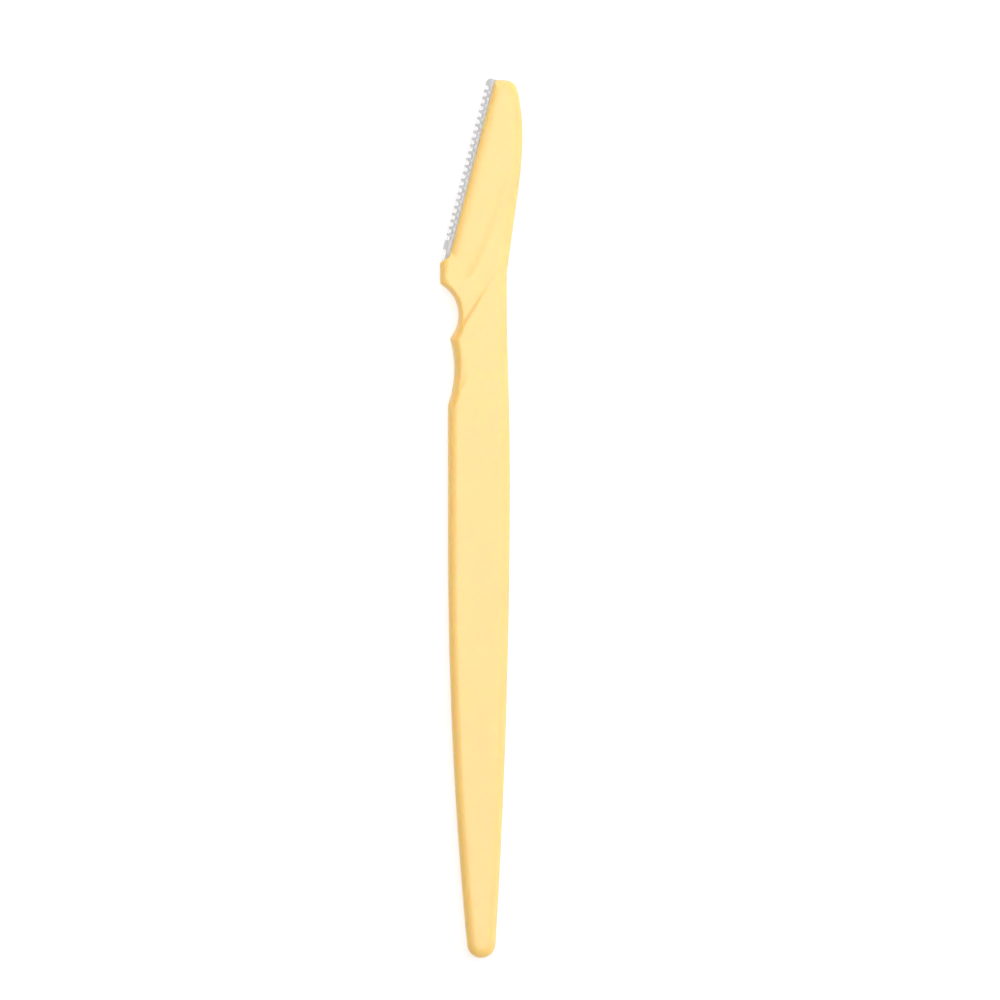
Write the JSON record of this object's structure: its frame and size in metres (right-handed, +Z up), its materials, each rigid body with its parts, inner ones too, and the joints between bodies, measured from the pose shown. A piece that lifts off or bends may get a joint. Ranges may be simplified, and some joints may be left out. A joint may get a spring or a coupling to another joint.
{
  "type": "eyebrow razor",
  "caption": "Slim moulded eyebrow razor: tapered flat grip with finger scallops, leaf shaped head, and a leaning steel blade behind a slotted comb guard.",
  "frame": {"origin": "under the middle of the razor's box, on the surface that it lies on", "axes": "+Y from the tip of the grip to the head, the blade towards -X, +Z up through the thickness"},
  "size_m": [0.014, 0.15, 0.0046],
  "materials": {
    "plastic": "pale yellow satin moulded plastic",
    "blade_steel": "ground stainless strip",
    "guard_steel": "stamped stainless foil"
  },
  "bodies": {
    "root": {"handle": "plastic", "blade": "blade_steel", "comb_guard": "guard_steel"}
  },
  "joints": []
}
